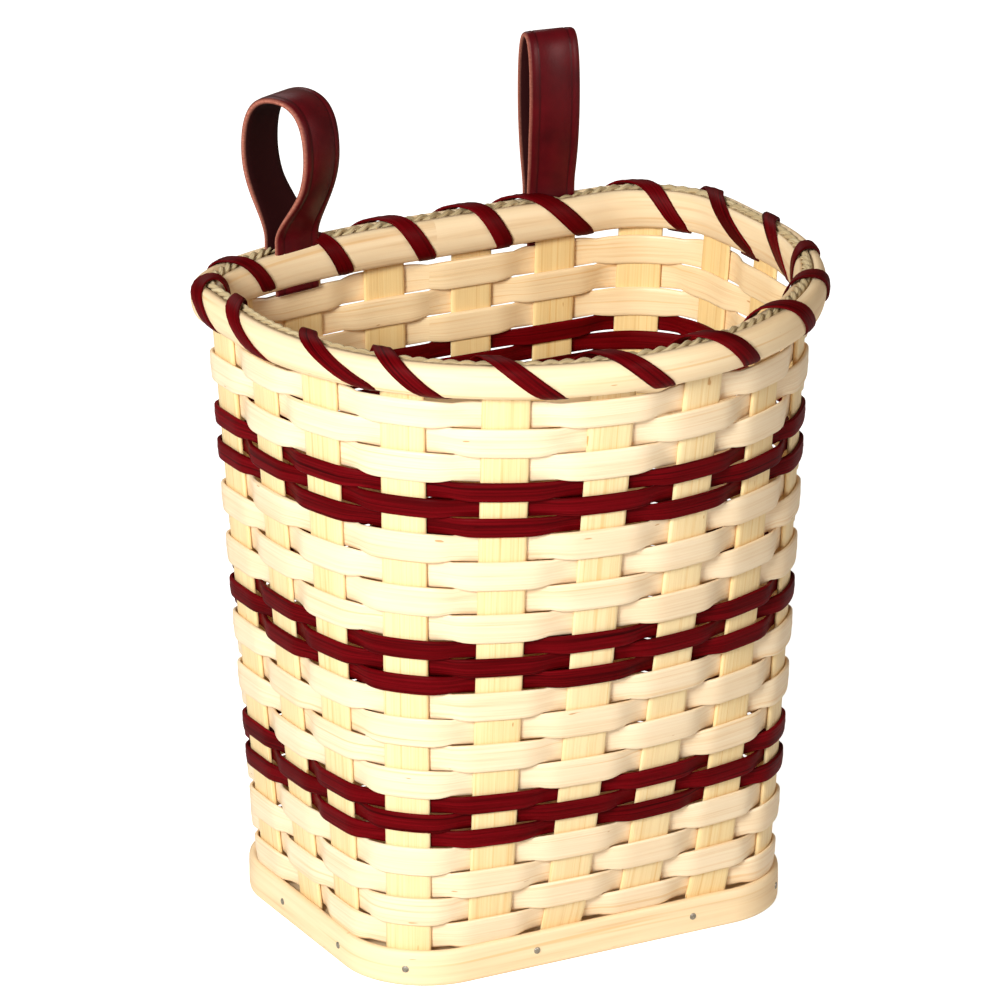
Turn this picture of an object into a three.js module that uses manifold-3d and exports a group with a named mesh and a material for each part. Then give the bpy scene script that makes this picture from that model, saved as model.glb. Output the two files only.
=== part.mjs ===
// Berry basket worn on a belt: flat reed stakes nailed to a wooden base, a plain reed weave with red stripes,
// a lashed double rim with a seagrass filler, and two leather belt loops held in the rim.
// Units are millimetres. +Z is up, -Y is the rounded front, +Y is the flat back that carries the loops.
import * as THREE from "three";
import Module from "manifold-3d";

const wasm = await Module();
wasm.setup();

// Clearances
const SEAT = 0.3; // between pieces that touch on the real basket
const ROW_GAP = 0.35; // between one woven row and the next
const NAIL_GAP = 0.2; // round a nail in its hole

// Reed sizes
const STAKE_COUNT = 18;
const STAKE_WIDTH = 15.9;
const STAKE_THICK = 1.4;
const NATURAL_WIDTH = 9.525;
const RED_WIDTH = 6.35;
const WEAVER_THICK = 1.0;
const LASH_WIDTH = 6.35;
const LASH_THICK = 1.0;
const LASH_SLANT = 1.15; // width along the rim over the reed's own width

// Woven rows from the top down: colour and number of rows in each stripe
const STRIPES = [
  ["natural", 3],
  ["red", 3],
  ["natural", 4],
  ["red", 3],
  ["natural", 4],
  ["red", 3],
  ["natural", 4],
];

// Base: a board inside the stakes and a bent band outside them
const BASE_HALF_WIDTH = 79;
const BASE_HALF_DEPTH = 60.5;
const BASE_CORNER = 27;
const BAND_HEIGHT = 12.7;
const BAND_THICK = 3.2;
const BOARD_THICK = 9.5;

// Rim: two half-oval bands, a gap under them for the lashing, a rope filler on top
const RIM_HALF_WIDTH = 98.5;
const RIM_FRONT = 101;
const RIM_BACK = 60;
const RIM_CORNER = 32;
const RIM_LEFT_RUN = 85; // the left end of the back curves forward over this length
const RIM_HEIGHT = 14;
const RIM_THICK = 4.6;
const RIM_SHOULDER = 3.1; // rounded part of a band at its top and bottom
const RIM_FLAT = 2.5; // flat part of a band across its top and bottom
const RIM_GAP = 3;
const RIM_ROW_WIDTH = 6.35;
const FILLER_RADIUS = 2;

// How the wall runs from the base outline to the rim outline
// A power under one spreads the wall early, near the base
const SIDE_FLARE = 0.85;
const FRONT_FLARE = 0.75;

// Leather belt loops
const LOOP_STAKES = [1, 16];
const LOOP_DEPTHS = [31, 13];
const LOOP_HEIGHTS = [53, 60]; // above the rim bands
const LOOP_BELLY = 0.6; // height of the widest point, as a share of the loop
const STRAP_WIDTH = 19;
const STRAP_THICK = 2.5;
const TAIL_THICK = 1.6; // pared ends, one on the other
const LOOP_THROAT = 9; // closed height under the belt gap
const LEG_EASE = 0.6; // how gently the loop's legs open, and how full its top is
const BOW_EASE = 0.75;
const LOOP_STEPS = 8;

// Nails, as positions counted in stakes from the first one
const NAIL_COUNTS = [3.5, 5, 6, 7.6, 9.75, 12.5, 16.5];
const NAIL_RADIUS = 0.8;
const NAIL_LENGTH = 14;
const NAIL_HEAD_RADIUS = 1.6;
const NAIL_HEAD_THICK = 0.6;
const NAIL_SIDES = 8;

// Derived heights
const rowColours = STRIPES.flatMap(([colour, count]) => Array(count).fill(colour));
const rowWidths = rowColours.map((colour) => (colour === "red" ? RED_WIDTH : NATURAL_WIDTH));
const WALL_TOP = BAND_HEIGHT + SEAT + rowWidths.reduce((sum, width) => sum + width, 0);
const RIM_BOTTOM = WALL_TOP + RIM_GAP;
const RIM_TOP = RIM_BOTTOM + RIM_HEIGHT;
const FILLER_Z = RIM_TOP;
const STAKE_TOP = FILLER_Z - FILLER_RADIUS - SEAT;

// Derived offsets from the middle of the stakes, measured along the outward normal
const WEAVER_OFFSET = STAKE_THICK / 2 + SEAT + WEAVER_THICK / 2;
const RIM_FACE = WEAVER_OFFSET + WEAVER_THICK / 2 + SEAT;
const RIM_OUTSIDE = RIM_FACE + RIM_THICK;
const BAND_FACE = STAKE_THICK / 2 + SEAT;
const LASH_SEAT = 3 * SEAT; // room for the bends of the rim
const LASH_OFFSET = LASH_SEAT + LASH_THICK / 2;
const TAIL_FACE = STAKE_THICK / 2 + SEAT;
const TAIL_CENTRE = TAIL_FACE + TAIL_THICK;
const TAIL_BACK = TAIL_FACE + 2 * TAIL_THICK;
const PIVOT_Z = RIM_TOP + TAIL_THICK + 3 * SEAT;

// Materials
const material = (color, roughness) => new THREE.MeshStandardMaterial({ color, roughness });
const naturalReed = material(0xead3a0, 0.7);
const redReed = material(0x730d18, 0.6);
const wood = material(0xe6c896, 0.6);
const seagrass = material(0xb5a070, 0.8);
const leather = material(0x551318, 0.4);
const steel = material(0x8a8680, 0.4);

const basket = new THREE.Group();
basket.name = "berry_basket";

function addPart(name, geometry, partMaterial) {
  const mesh = new THREE.Mesh(geometry, partMaterial);
  mesh.name = name;
  basket.add(mesh);
  return mesh;
}

// Plan outlines, both starting at the middle of the back and running by the left side to the front

function basePlan() {
  const x = BASE_HALF_WIDTH - BASE_CORNER;
  const y = BASE_HALF_DEPTH - BASE_CORNER;
  const quarter = Math.PI / 2;
  const path = new THREE.Path();
  path.moveTo(0, BASE_HALF_DEPTH);
  path.lineTo(-x, BASE_HALF_DEPTH);
  path.absarc(-x, y, BASE_CORNER, quarter, 2 * quarter);
  path.absarc(-x, -y, BASE_CORNER, 2 * quarter, 3 * quarter);
  path.absarc(x, -y, BASE_CORNER, 3 * quarter, 4 * quarter);
  path.absarc(x, y, BASE_CORNER, 0, quarter);
  path.lineTo(0, BASE_HALF_DEPTH);
  return path;
}

function rimPlan() {
  const x = RIM_HALF_WIDTH - RIM_CORNER;
  const leftX = RIM_LEFT_RUN - RIM_HALF_WIDTH;
  const y = RIM_BACK - RIM_CORNER;
  const path = new THREE.Path();
  path.moveTo(0, RIM_BACK);
  path.lineTo(leftX, RIM_BACK);
  path.absellipse(leftX, y, RIM_LEFT_RUN, RIM_CORNER, Math.PI / 2, Math.PI);
  path.lineTo(-RIM_HALF_WIDTH, 0);
  path.absellipse(0, 0, RIM_HALF_WIDTH, RIM_FRONT, Math.PI, 2 * Math.PI);
  path.lineTo(RIM_HALF_WIDTH, y);
  path.absarc(x, y, RIM_CORNER, 0, Math.PI / 2);
  path.lineTo(0, RIM_BACK);
  return path;
}

const baseOutline = basePlan();
const rimOutline = rimPlan();
const wrap = (u) => ((u % 1) + 1) % 1;

function wallPoint(u, z) {
  const base = baseOutline.getPoint(wrap(u));
  const rim = rimOutline.getPoint(wrap(u));
  const rise = Math.min(1, Math.max(0, (z - BAND_HEIGHT) / (RIM_TOP - BAND_HEIGHT)));
  const x = THREE.MathUtils.lerp(base.x, rim.x, rise ** SIDE_FLARE);
  const y = THREE.MathUtils.lerp(base.y, rim.y, rise ** FRONT_FLARE);
  return new THREE.Vector3(x, y, z);
}

// A place on the wall: its point, the level tangent towards growing u, and the level outward normal
function wallFrame(u, z) {
  const step = 1e-3;
  const point = wallPoint(u, z);
  const along = wallPoint(u + step, z).sub(wallPoint(u - step, z)).normalize();
  const out = new THREE.Vector3(along.y, -along.x, 0);
  return { point, along, out };
}

const stakePlace = (stake) => (stake + 0.5) / STAKE_COUNT;

// Heights at which the stakes bend: upright inside the base band, then straight from step to step
const FLARE_STEPS = 12;
const STEP_GROWTH = 1.2; // over one: short steps near the base, where the stakes twist most
const BENDS = [0, BAND_HEIGHT];
for (let i = 1; i <= FLARE_STEPS; i++) {
  BENDS.push(BAND_HEIGHT + (RIM_TOP - BAND_HEIGHT) * (i / FLARE_STEPS) ** STEP_GROWTH);
}

// A point beside a stake: shifted along the wall and outwards, and straight between two bends
function besideStake(stake, z, shift, offset) {
  const upper = Math.max(1, BENDS.findIndex((bend) => bend >= z));
  const [low, high] = [upper - 1, upper].map((i) => {
    const { point, along, out } = wallFrame(stakePlace(stake), BENDS[i]);
    return point.addScaledVector(along, shift).addScaledVector(out, offset);
  });
  return low.lerp(high, (z - BENDS[upper - 1]) / (BENDS[upper] - BENDS[upper - 1]));
}

// Closed skin over a row of equal polygons. A ring joins its last section to its first.
function loft(sections, ring) {
  const sides = sections[0].length;
  const corners = sections.flat();
  const index = [];
  const spans = ring ? sections.length : sections.length - 1;
  for (let i = 0; i < spans; i++) {
    const here = i * sides;
    const next = ((i + 1) % sections.length) * sides;
    for (let j = 0; j < sides; j++) {
      const k = (j + 1) % sides;
      index.push(here + j, here + k, next + k, here + j, next + k, next + j);
    }
  }
  if (!ring) {
    const last = (sections.length - 1) * sides;
    for (let j = 1; j < sides - 1; j++) {
      index.push(0, j + 1, j);
      index.push(last, last + j, last + j + 1);
    }
  }
  const geometry = new THREE.BufferGeometry().setFromPoints(corners);
  geometry.setIndex(index);
  return geometry;
}

// Boolean cut of one geometry by a list of others
function solidOf(geometry) {
  const position = geometry.getAttribute("position").array;
  const mesh = new wasm.Mesh({
    numProp: 3,
    vertProperties: new Float32Array(position),
    triVerts: new Uint32Array(geometry.index.array),
  });
  mesh.merge();
  return new wasm.Manifold(mesh);
}

function cut(geometry, tools) {
  const solid = tools.reduce((rest, tool) => rest.subtract(solidOf(tool)), solidOf(geometry));
  const mesh = solid.getMesh();
  const result = new THREE.BufferGeometry();
  result.setAttribute("position", new THREE.BufferAttribute(mesh.vertProperties, 3));
  result.setIndex(new THREE.BufferAttribute(mesh.triVerts, 1));
  return result;
}

// A block beside a stake, between two heights and two offsets
function blockAtStake(stake, width, offsets, heights) {
  const [near, far] = [Math.min(...offsets), Math.max(...offsets)];
  const { point, along, out } = wallFrame(stakePlace(stake), RIM_TOP);
  const corner = (shift, offset, z) =>
    point.clone().setZ(z).addScaledVector(along, shift).addScaledVector(out, offset);
  const sections = heights.map((z) => [
    corner(-width / 2, near, z),
    corner(-width / 2, far, z),
    corner(width / 2, far, z),
    corner(width / 2, near, z),
  ]);
  return loft(sections, false);
}

// Stakes

function stakeGeometry(stake) {
  const half = { width: STAKE_WIDTH / 2, thick: STAKE_THICK / 2 };
  const levels = [SEAT, ...BENDS.slice(1, -1), STAKE_TOP];
  const sections = levels.map((z) => [
    besideStake(stake, z, -half.width, -half.thick),
    besideStake(stake, z, -half.width, half.thick),
    besideStake(stake, z, half.width, half.thick),
    besideStake(stake, z, half.width, -half.thick),
  ]);
  return loft(sections, false);
}

// Woven rows: each is a ring that passes outside one stake and inside the next

const passesOutside = (stake, row) => (stake + row) % 2 === 1;

function weaverGeometry(row, bottom, top) {
  const edge = STAKE_WIDTH / 2 + SEAT;
  const sections = [];
  for (let stake = 0; stake < STAKE_COUNT; stake++) {
    const middle = passesOutside(stake, row) ? WEAVER_OFFSET : -WEAVER_OFFSET;
    const inner = middle - WEAVER_THICK / 2;
    const outer = middle + WEAVER_THICK / 2;
    for (const shift of [-edge, edge]) {
      sections.push([
        besideStake(stake, bottom, shift, inner),
        besideStake(stake, top, shift, inner),
        besideStake(stake, top, shift, outer),
        besideStake(stake, bottom, shift, outer),
      ]);
    }
  }
  return loft(sections, true);
}

// Base

function baseEdge(offset) {
  const edge = STAKE_WIDTH / 2 + SEAT;
  const points = [];
  for (let stake = 0; stake < STAKE_COUNT; stake++) {
    points.push(besideStake(stake, 0, -edge, offset), besideStake(stake, 0, edge, offset));
  }
  return points;
}

function boardGeometry() {
  const outline = baseEdge(-BAND_FACE);
  const sections = [0, BOARD_THICK].map((z) => outline.map((p) => p.clone().setZ(z)));
  return loft(sections, false);
}

function bandGeometry() {
  const inside = baseEdge(BAND_FACE);
  const outside = baseEdge(BAND_FACE + BAND_THICK);
  const sections = inside.map((p, i) => [
    p.clone().setZ(0),
    p.clone().setZ(BAND_HEIGHT),
    outside[i].clone().setZ(BAND_HEIGHT),
    outside[i].clone().setZ(0),
  ]);
  return loft(sections, true);
}

function nailFrame(count) {
  const { point, along, out } = wallFrame(stakePlace(count), BAND_HEIGHT / 2);
  const down = along.clone().cross(out);
  return new THREE.Matrix4().makeBasis(along, out, down).setPosition(point);
}

function nailRod(count, radius, from, to) {
  const rod = new THREE.CylinderGeometry(radius, radius, to - from, NAIL_SIDES);
  rod.translate(0, (from + to) / 2, 0);
  return rod.applyMatrix4(nailFrame(count));
}

function nailGeometry(count) {
  const face = BAND_FACE + BAND_THICK + SEAT;
  const profile = [
    [0, face + NAIL_HEAD_THICK - NAIL_LENGTH],
    [NAIL_RADIUS, face + NAIL_HEAD_THICK - NAIL_LENGTH + 2 * NAIL_RADIUS],
    [NAIL_RADIUS, face],
    [NAIL_HEAD_RADIUS, face],
    [NAIL_HEAD_RADIUS, face + NAIL_HEAD_THICK / 2],
    [0, face + NAIL_HEAD_THICK],
  ].map(([r, y]) => new THREE.Vector2(r, y));
  return new THREE.LatheGeometry(profile, NAIL_SIDES).applyMatrix4(nailFrame(count));
}

const nailHole = (count) =>
  nailRod(count, NAIL_RADIUS + NAIL_GAP, -NAIL_LENGTH, BAND_FACE + BAND_THICK + NAIL_GAP);

// Rim

const RIM_PITCH = rimOutline.getLength() / STAKE_COUNT;
const FLAT_SHARE = (STAKE_WIDTH / 2 + SEAT) / RIM_PITCH;

// A point of the rim, counted in stakes from the first one: flat at each stake, bent once in each gap
function rimPoint(count, z, offset) {
  const level = Math.min(z, RIM_TOP);
  const stake = Math.round(count);
  const share = count - stake;
  const flat = THREE.MathUtils.clamp(share, -FLAT_SHARE, FLAT_SHARE);
  const point = besideStake(stake, level, flat * RIM_PITCH, offset);
  const { point: gap, out } = wallFrame(stakePlace(stake + Math.sign(share) / 2), level);
  gap.addScaledVector(out, offset);
  const bend = (Math.abs(share) - Math.abs(flat)) / (0.5 - FLAT_SHARE);
  return point.lerp(gap, bend).setZ(z);
}

function rimRing(profile) {
  const sections = [];
  for (let stake = 0; stake < STAKE_COUNT; stake++) {
    for (const share of [-FLAT_SHARE, FLAT_SHARE, 0.5]) {
      sections.push(profile.map(([offset, z]) => rimPoint(stake + share, z, offset)));
    }
  }
  return loft(sections, true);
}

// Half-oval band: a flat face towards the stakes, a rounded face away from them
function rimBand(side) {
  const middle = RIM_FACE + RIM_FLAT;
  const profile = [
    [RIM_FACE, RIM_BOTTOM],
    [RIM_FACE, RIM_TOP],
    [middle, RIM_TOP],
    [RIM_OUTSIDE, RIM_TOP - RIM_SHOULDER],
    [RIM_OUTSIDE, RIM_BOTTOM + RIM_SHOULDER],
    [middle, RIM_BOTTOM],
  ];
  const placed = profile.map(([offset, z]) => [side * offset, z]);
  return rimRing(side > 0 ? placed : placed.reverse());
}

function fillerGeometry() {
  const sides = 6;
  const profile = [];
  for (let j = 0; j < sides; j++) {
    const angle = (-2 * Math.PI * j) / sides;
    profile.push([FILLER_RADIUS * Math.cos(angle), FILLER_Z + FILLER_RADIUS * Math.sin(angle)]);
  }
  return rimRing(profile);
}

// Lashing: one flat reed wound round the rim, one turn in each gap between stakes.
// It rises inside, crosses over the filler and comes down outside.
function lashingGeometry() {
  const side = RIM_OUTSIDE + LASH_OFFSET;
  const knee = RIM_FACE + RIM_FLAT + LASH_OFFSET / 2;
  const low = RIM_BOTTOM - LASH_OFFSET;
  const high = FILLER_Z + FILLER_RADIUS + LASH_OFFSET;
  const kneeTop = RIM_TOP + LASH_OFFSET;
  const loop = [
    [0, low],
    [-knee, low],
    [-side, RIM_BOTTOM + RIM_SHOULDER],
    [-side, RIM_TOP - RIM_SHOULDER],
    [-knee, kneeTop],
    [-FILLER_RADIUS, high],
    [FILLER_RADIUS, high],
    [knee, kneeTop],
    [side, RIM_TOP - RIM_SHOULDER],
    [side, (RIM_TOP + RIM_BOTTOM) / 2],
    [side, RIM_BOTTOM + RIM_SHOULDER],
    [knee, low],
  ].map(([x, y]) => new THREE.Vector2(x, y));
  const plainTurn = [-0.4, -0.34, -0.14, -0.07, -0.02, 0.02, 0.07, 0.14, 0.24, 0.34, 0.4];
  const strapTurn = [-0.4, -0.26, 0.3, 0.43, 0.44, 0.45, 0.46, 0.47, 0.48, 0.49, 0.495];
  const normals = loop.map((p, i) => {
    const before = loop[(i + loop.length - 1) % loop.length];
    const after = loop[(i + 1) % loop.length];
    const way = after.clone().sub(before).normalize();
    return new THREE.Vector2(-way.y, way.x);
  });
  const halfShare = (LASH_WIDTH * LASH_SLANT) / 2 / RIM_PITCH;
  const sections = [];
  const addSection = (count, i) => {
    const corner = (shift, lift) =>
      rimPoint(count + shift, loop[i].y + normals[i].y * lift, loop[i].x + normals[i].x * lift);
    const t = LASH_THICK / 2;
    const shifts = [-halfShare, 0, halfShare];
    const under = shifts.map((shift) => corner(shift, -t));
    const over = shifts.map((shift) => corner(shift, t));
    sections.push([...under, ...over.reverse()]);
  };
  for (let turn = 0; turn < STAKE_COUNT; turn++) {
    const progress = LOOP_STAKES.includes(turn) ? strapTurn : plainTurn;
    if (turn > 0) addSection(turn - 0.5, 0); // under the rim, in the gap before the stake
    progress.forEach((share, i) => addSection(turn + share, i + 1));
  }
  return loft(sections, false);
}

// Leather loops: at each loop the pared tails go down between the stake and one rim band

const tailSide = (stake) => (passesOutside(stake, 0) ? -1 : 1);

function tailGeometry(stake) {
  const side = tailSide(stake);
  const top = PIVOT_Z - TAIL_THICK - SEAT;
  return blockAtStake(stake, STRAP_WIDTH, [side * TAIL_FACE, side * TAIL_BACK], [WALL_TOP + SEAT, top]);
}

// Room for the tails in a rim band and in the filler
function tailNotch(stake) {
  const side = tailSide(stake);
  const width = STRAP_WIDTH + 2 * SEAT;
  const offsets = [side * STAKE_THICK / 2, side * (TAIL_BACK + SEAT)];
  return blockAtStake(stake, width, offsets, [WALL_TOP, PIVOT_Z + LOOP_THROAT]);
}

// A teardrop in the plane across the strap, drawn up from the pivot
function teardrop(path, bottom, bottomHalf, top, half) {
  const belly = bottom + (top - bottom) * LOOP_BELLY;
  const rise = (belly - bottom) * LEG_EASE;
  const shoulder = (top - belly) * BOW_EASE;
  path.moveTo(bottomHalf, bottom);
  path.bezierCurveTo(bottomHalf, bottom + rise / 2, half, belly - rise, half, belly);
  path.bezierCurveTo(half, belly + shoulder, half * LEG_EASE, top, 0, top);
  path.bezierCurveTo(-half * LEG_EASE, top, -half, belly + shoulder, -half, belly);
  path.bezierCurveTo(-half, belly - rise, -bottomHalf, bottom + rise / 2, -bottomHalf, bottom);
  return path;
}

function loopGeometry(stake, depth, rise) {
  const height = RIM_TOP + rise - PIVOT_Z;
  const outline = teardrop(new THREE.Shape(), 0, TAIL_THICK, height, depth / 2);
  outline.absarc(0, 0, TAIL_THICK, Math.PI, 2 * Math.PI);
  const gap = teardrop(new THREE.Path(), LOOP_THROAT, 0, height - STRAP_THICK, depth / 2 - STRAP_THICK);
  outline.holes.push(gap);
  const geometry = new THREE.ExtrudeGeometry(outline, {
    depth: STRAP_WIDTH,
    bevelEnabled: false,
    curveSegments: LOOP_STEPS,
  });
  geometry.translate(0, 0, -STRAP_WIDTH / 2);
  const { point, out } = wallFrame(stakePlace(stake), RIM_TOP);
  const up = new THREE.Vector3(0, 0, 1);
  const across = out.clone().cross(up);
  const pivot = point.setZ(PIVOT_Z).addScaledVector(out, tailSide(stake) * TAIL_CENTRE);
  return geometry.applyMatrix4(new THREE.Matrix4().makeBasis(out, up, across).setPosition(pivot));
}

// Assembly

const label = (number) => String(number).padStart(2, "0");
const nailHoles = NAIL_COUNTS.map(nailHole);

for (let stake = 0; stake < STAKE_COUNT; stake++) {
  const strip = stakeGeometry(stake);
  const holes = NAIL_COUNTS.filter((count) => Math.abs(count - stake) < 0.5).map(nailHole);
  addPart(`stake_${label(stake + 1)}`, cut(strip, holes), naturalReed);
}

let rowTop = WALL_TOP;
rowWidths.forEach((width, i) => {
  const row = i + 1;
  const colour = rowColours[i];
  const geometry = weaverGeometry(row, rowTop - width, rowTop - ROW_GAP);
  addPart(`weaver_${label(row)}_${colour}`, geometry, colour === "red" ? redReed : naturalReed);
  rowTop -= width;
});
const rimRowMiddle = (RIM_BOTTOM + STAKE_TOP) / 2;
addPart(
  "weaver_rim_row",
  weaverGeometry(0, rimRowMiddle - RIM_ROW_WIDTH / 2, rimRowMiddle + RIM_ROW_WIDTH / 2),
  naturalReed,
);

addPart("base_board", cut(boardGeometry(), nailHoles), wood);
addPart("base_band", cut(bandGeometry(), nailHoles), wood);
NAIL_COUNTS.forEach((count, i) => addPart(`base_nail_${label(i + 1)}`, nailGeometry(count), steel));

const notches = { inner: [], outer: [] };
for (const stake of LOOP_STAKES) {
  notches[tailSide(stake) < 0 ? "inner" : "outer"].push(tailNotch(stake));
}
addPart("rim_outer_band", cut(rimBand(1), notches.outer), wood);
addPart("rim_inner_band", cut(rimBand(-1), notches.inner), wood);
addPart("rim_filler", cut(fillerGeometry(), LOOP_STAKES.map(tailNotch)), seagrass);
addPart("rim_lashing", lashingGeometry(), redReed);

LOOP_STAKES.forEach((stake, i) => {
  const side = i === 0 ? "left" : "right";
  addPart(`belt_loop_${side}`, loopGeometry(stake, LOOP_DEPTHS[i], LOOP_HEIGHTS[i]), leather);
  addPart(`belt_loop_${side}_tail`, tailGeometry(stake), leather);
});

export default basket;
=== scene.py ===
"""Berry basket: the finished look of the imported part, in the part's own frame."""

import math

import bpy
import numpy as np
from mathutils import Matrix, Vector


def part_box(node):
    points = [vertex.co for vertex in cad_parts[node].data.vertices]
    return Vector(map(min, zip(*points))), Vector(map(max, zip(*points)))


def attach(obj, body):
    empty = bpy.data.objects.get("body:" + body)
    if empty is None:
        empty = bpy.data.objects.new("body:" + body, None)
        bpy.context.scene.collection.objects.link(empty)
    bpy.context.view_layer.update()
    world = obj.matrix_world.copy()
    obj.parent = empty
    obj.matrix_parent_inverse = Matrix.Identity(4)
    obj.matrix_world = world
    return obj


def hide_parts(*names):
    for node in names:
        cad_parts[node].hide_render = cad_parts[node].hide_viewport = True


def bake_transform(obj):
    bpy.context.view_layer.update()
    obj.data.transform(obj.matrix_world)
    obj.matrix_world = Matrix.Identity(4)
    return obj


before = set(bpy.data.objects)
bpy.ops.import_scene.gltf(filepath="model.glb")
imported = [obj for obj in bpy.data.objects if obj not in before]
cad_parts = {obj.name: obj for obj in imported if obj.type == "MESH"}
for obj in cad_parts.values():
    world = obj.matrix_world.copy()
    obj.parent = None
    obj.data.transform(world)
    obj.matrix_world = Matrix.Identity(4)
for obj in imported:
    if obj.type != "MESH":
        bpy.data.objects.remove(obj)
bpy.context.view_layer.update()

# Sizes are in millimetres and become metres where a mesh is made; the stage and the camera are in metres.
MM = 0.001
UP = np.array([0.0, 0.0, 1.0])
IN_PLAN = np.array([1.0, 1.0, 0.0])
QUARTER = math.pi / 2

# Flat reed: its sizes, and the height of its outer face's middle as a share of half its thickness
STAKES = 18
STAKE_WIDTH = 15.9
STAKE_THICK = 1.8
STAKE_DOME = 1.03
WEAVER_THICK = 1.5
WEAVER_DOME = 1.15
LASH_WIDTH = 6.2
LASH_THICK = 1.0
LASH_DOME = 1.2

# Rounded edge of a flat reed from the edge inwards: share of its width and of half its thickness
REED_EDGE = [(0.5, 0), (0.485, 0.55), (0.45, 0.86), (0.38, 0.97), (0.2, 1)]

# Weave: how far a row stands off the wall's middle at a stake and how flat it lies there, the share by
# which it swells over a stake and is pinched between two, and how far it wanders up and out
WEAVE_REACH = (STAKE_THICK + WEAVER_THICK) / 2
WEAVE_FLATNESS = 1.35
ROW_SWELL = 0.14
ROW_PINCH = 0.02
ROW_WANDER_UP = 0.12
ROW_WANDER_OUT = 0.05

# Base
BASE_HALF_WIDTH = 79.0
BASE_HALF_DEPTH = 60.5
BASE_CORNER = 27.0
BAND_THICK = 3.2
BAND_FACE = STAKE_THICK / 2
BAND_DOME = 1.0
BOARD_EASE = 1.2

# Nails, counted in stakes from the first one, and their shape as heights off the band and shares of the
# radius
NAIL_COUNTS = [3.5, 5.0, 6.0, 7.6, 9.75, 12.5, 16.5]
HIDDEN_NAIL_COUNTS = [11.1, 14.0, 15.2, 0.5, 2.0]
NAIL_RADIUS = 1.2
NAIL_SHAPE = [(-3.0, 0.7), (-0.3, 0.8), (-0.3, 1.0), (0.10, 1.0), (0.28, 0.85), (0.36, 0.45), (0.38, 0.05)]

# Rim: its outline, and its two bands, whose half-oval section is fuller than an ellipse for a power
# below one
RIM_HALF_WIDTH = 98.5
RIM_FRONT = 101.0
RIM_BACK = 60.0
RIM_CORNER = 32.0
RIM_LEFT_RUN = 85.0
RIM_FACE = 2.5
RIM_THICK = 4.6
RIM_OVAL_POWER = 0.6

# Rope on the rim: how deep it lies, how much deeper and thinner it is in front, and its two plies, with
# their radius as a share of the rope's and their lumps
FILLER_RADIUS = 2.0
FILLER_DROP = 0.6
FILLER_SAG = 0.3
FILLER_THIN_FRONT = 0.25
FILLER_TWISTS = 60
PLIES = 2
PLY_SHARE = 0.56
LUMP_SHARE = 0.06
LUMPS_PER_TWIST = 37

# How a strap crowds the rope: the reach in stakes, the slope of the change, the distance that the rope
# is pushed aside and the share of its thickness that is lost
CROWD_REACH = 0.5
CROWD_SLOPE = 3.2
CROWD_ASIDE = 1.6
CROWD_THIN = 0.35

# Wall: the power of the height by which it flares to the sides, and to the front and the back
SIDE_FLARE = 0.85
FRONT_FLARE = 0.75

# Hand work: how far the rim sags in front, its inner band the more, and where its stakes stand off an
# even spacing, as the place, the reach and the distance of each drift, all in stakes
FRONT_SHARE = 0.35
FRONT_SAG = 4.0
INNER_SAG = 2.5
SAG_START = 195.0
STAKE_DRIFTS = [(5.5, 2.4, -0.24), (0.8, 1.3, 0.1)]

# Where the inner side of the rim is pressed at its ends: the place and the reach in stakes, and the
# share of its thickness that is lost; of its height it loses less
RIM_PRESSES = [(12.2, 2.2, 0.42), (3.3, 1.2, 0.38)]
PRESSED_HEIGHT = 0.45

# Rim lashing: where each wrap crosses the rim, in stakes from its own stake, as photographed, and how
# many stakes a wrap moves on in a turn while it climbs inside and while it falls outside; some wraps
# have a climb or a fall of their own
LASH_SHIFTS = [
    -0.07, -0.12, 0.09, -0.32, -0.53, -0.15, -0.2, -0.13, -0.1,
    -0.07, 0.05, 0.05, 0, 0.05, 0.15, 0.02, 0.35, 0.03,
]
LASH_CLIMB = 0.45
LASH_FALL = 0.7
LASH_OWN_CLIMBS = {2: 0.6, 3: 0.1, 12: 0.6, 13: 1.15, 14: 1.3, 15: 0.75, 16: 0.8}
LASH_OWN_FALLS = {2: 0.05, 4: 1.1, 5: 1.15}

# The share of a turn that the climb and the fall take, the turns at which the lashing starts and ends,
# the distance of its middle from the rim, and the power of the rounded box that it is wound on
LASH_REACH = 0.86
LASH_START = -0.45
LASH_END = STAKES - 0.55
LASH_REST = 0.6
LASH_BOX_POWER = 2.4

# Leather strap: its section, with the edge from the outside inwards as in a reed and a crease pressed
# into the grain side, then the thin tail, the run over which it is pared and the leather that bends
STRAP_WIDTH = 19.0
STRAP_THICK = 2.5
STRAP_EDGE = [(0.5, 0), (0.485, 0.55), (0.45, 0.86)]
CREASE_PLACE = 0.316
CREASE_HALF_WIDTH = 0.029
CREASE_BED = 0.8
TAIL_THICK = 1.6
PARED_RUN = 14.0

# Distance from the wall's middle to the face of the stake that the tails lie on
TAIL_SEAT = 1.0

# Share of the strap's width at which its raw edge starts, and the share over which it takes over
RAW_EDGE_START = 0.478
RAW_EDGE_RUN = 0.015

# Curve of a loop: the height of its widest place and the share of its height over which it turns, then
# how strongly the curve keeps its way at the foot, the leg, the shoulder and the crown
LOOP_BELLY = 0.62
TURN_SHARE = 0.4
FOOT_PULL = 0.4
LEG_PULL = 0.5
SHOULDER_PULL = 0.75
CROWN_PULL = 0.6

# Leather loops: name, place in stakes, depth, distance between the feet, side of the stake and turn
LOOPS = [
    ("left", 1.14, 29.2, 5.6, -1, math.radians(-13)),
    ("right", 16.05, 13.4, 3.2, 1, math.radians(6)),
]

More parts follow.
